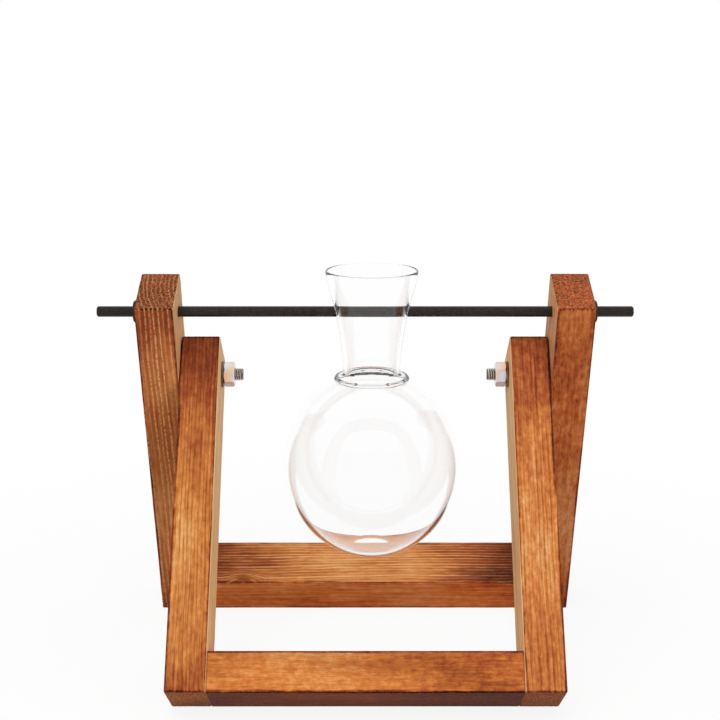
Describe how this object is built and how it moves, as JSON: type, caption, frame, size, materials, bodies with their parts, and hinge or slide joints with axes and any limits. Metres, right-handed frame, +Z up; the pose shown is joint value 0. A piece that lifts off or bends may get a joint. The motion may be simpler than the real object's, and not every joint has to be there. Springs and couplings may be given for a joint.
{
  "type": "plant stand",
  "caption": "Folding wooden stand of crossed U-shaped frames, with a clear glass vase hung by its drilled neck on a rod across the rear posts.",
  "frame": {"origin": "middle of the stand at floor level: half way between the front frame's front edge and the rear frame's rear edge", "axes": "+X along the rod to the right as seen from the front, +Y from the front of the stand to its back, +Z up"},
  "size_m": [0.24, 0.1618, 0.1787],
  "materials": {
    "stained_softwood": "red-brown stained softwood, straight grain, satin oil, darker at the ends and edges",
    "plain_dowel_wood": "plain unstained dowel, hidden in the joints",
    "zinc_plated_steel": "bright zinc plating",
    "black_rod": "satin black paint on a steel rod",
    "black_rubber": "matte black rubber",
    "clear_glass": "clear blown glass, fire-polished rim"
  },
  "bodies": {
    "rear_frame": {"rear_post_left": "stained_softwood", "rear_post_right": "stained_softwood", "rear_crossbar": "stained_softwood", "rear_dowel_1_left": "plain_dowel_wood", "rear_dowel_1_right": "plain_dowel_wood", "rear_dowel_2_left": "plain_dowel_wood", "rear_dowel_2_right": "plain_dowel_wood"},
    "front_frame": {"front_post_left": "stained_softwood", "front_post_right": "stained_softwood", "front_crossbar": "stained_softwood", "front_dowel_1_left": "plain_dowel_wood", "front_dowel_1_right": "plain_dowel_wood", "front_dowel_2_left": "plain_dowel_wood", "front_dowel_2_right": "plain_dowel_wood", "pivot_bolt_left": "zinc_plated_steel", "pivot_bolt_right": "zinc_plated_steel", "nut_washer_left": "zinc_plated_steel", "nut_washer_right": "zinc_plated_steel", "hex_nut_left": "zinc_plated_steel", "hex_nut_right": "zinc_plated_steel"},
    "rod": {"hanging_rod": "black_rod", "rod_ring_left": "black_rubber", "rod_ring_right": "black_rubber"},
    "vase": {"glass_vase": "clear_glass"}
  },
  "joints": [
    {"name": "frame_fold", "type": "hinge", "parent": "rear_frame", "child": "front_frame", "pos_m": [0, 0.02024, 0.12814], "axis": [1, 0, 0], "range_deg": [-90, 42]},
    {"name": "vase_swing", "type": "hinge", "parent": "rear_frame", "child": "rod", "pos_m": [0, 0.00819, 0.15995], "axis": [1, 0, 0], "continuous": true},
    {"name": "vase_slide", "type": "slide", "parent": "rod", "child": "vase", "axis": [1, 0, 0], "range_m": [-0.0284, 0.0224]}
  ]
}
